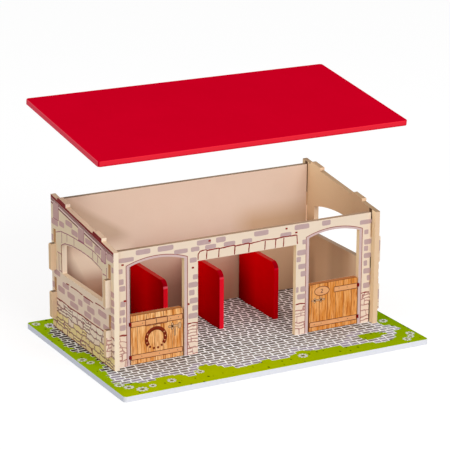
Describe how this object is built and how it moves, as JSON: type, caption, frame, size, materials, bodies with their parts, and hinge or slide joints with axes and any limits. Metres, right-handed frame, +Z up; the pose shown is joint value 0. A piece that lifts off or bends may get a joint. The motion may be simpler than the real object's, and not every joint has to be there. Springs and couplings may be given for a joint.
{
  "type": "toy stable",
  "caption": "Toy stable of hooked boards on a printed base, with a lean-to roof that lifts off, hinged half-doors, arched doorways and windows, and dividers that form stalls.",
  "frame": {"origin": "middle of the base board's underside", "axes": "+Z up, the open front faces -Y, and +X is to the right seen from the front"},
  "size_m": [0.481, 0.327, 0.3458],
  "materials": {
    "printed_base": "printed grass and cobbles under satin lacquer, white edges",
    "printed_board": "fibreboard, printed masonry outside under satin lacquer, bare inside",
    "red_paint": "fibreboard under glossy red paint",
    "printed_door": "fibreboard with printed planks under satin lacquer",
    "red_plastic": "moulded, glossy",
    "pin_steel": "drawn wire"
  },
  "bodies": {
    "house": {"base_board": "printed_base", "left_side_wall": "printed_board", "right_side_wall": "printed_board", "front_wall": "printed_board", "back_wall": "printed_board", "left_divider": "red_paint", "middle_divider": "red_paint", "right_divider": "red_paint", "left_door_lower_hinge_frame_leaf": "red_plastic", "left_door_lower_hinge_pin": "pin_steel", "left_door_upper_hinge_frame_leaf": "red_plastic", "left_door_upper_hinge_pin": "pin_steel", "right_door_lower_hinge_frame_leaf": "red_plastic", "right_door_lower_hinge_pin": "pin_steel", "right_door_upper_hinge_frame_leaf": "red_plastic", "right_door_upper_hinge_pin": "pin_steel"},
    "roof": {"roof_panel": "red_paint"},
    "left_door": {"left_door": "printed_door", "left_door_lower_hinge_door_leaf": "red_plastic", "left_door_upper_hinge_door_leaf": "red_plastic"},
    "right_door": {"right_door": "printed_door", "right_door_lower_hinge_door_leaf": "red_plastic", "right_door_upper_hinge_door_leaf": "red_plastic"}
  },
  "joints": [
    {"name": "roof_lift", "type": "slide", "parent": "house", "child": "roof", "axis": [0, 0, 1], "range_m": [-0.1298, 0]},
    {"name": "left_door_hinge", "type": "hinge", "parent": "house", "child": "left_door", "pos_m": [-0.18235, -0.0631, 0.044], "axis": [0, 0, -1], "range_deg": [0, 145]},
    {"name": "right_door_hinge", "type": "hinge", "parent": "house", "child": "right_door", "pos_m": [0.18235, -0.0631, 0.044], "axis": [0, 0, 1], "range_deg": [0, 145]}
  ]
}
